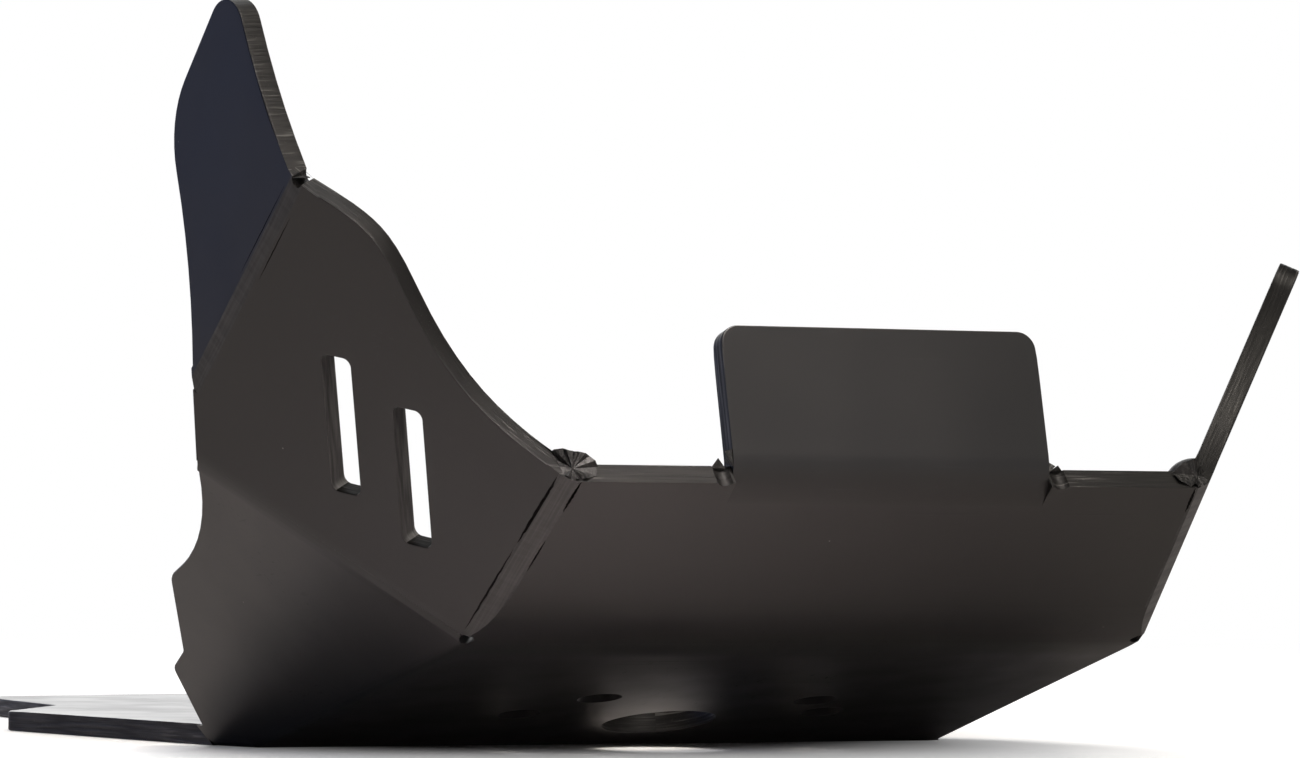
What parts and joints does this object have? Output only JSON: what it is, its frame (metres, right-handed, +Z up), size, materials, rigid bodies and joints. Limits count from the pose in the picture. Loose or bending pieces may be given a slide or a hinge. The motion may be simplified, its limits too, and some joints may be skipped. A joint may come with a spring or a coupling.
{
  "type": "motorcycle skid plate",
  "caption": "Black plastic skid plate folded from one sheet: flat tail, ramp, front with a tab, and slotted side wings, one with an ear.",
  "frame": {"origin": "on the flat underside at mid-width, 100 mm behind the bend where the ramp starts", "axes": "+X to the right as seen from the front (the rider's left), +Y to the rear, +Z up"},
  "size_m": [0.4364, 0.6414, 0.2712],
  "materials": {
    "sheet": "satin black high-density polyethylene with lighter sawn edges"
  },
  "bodies": {
    "root": {"skid_plate": "sheet"}
  },
  "joints": []
}
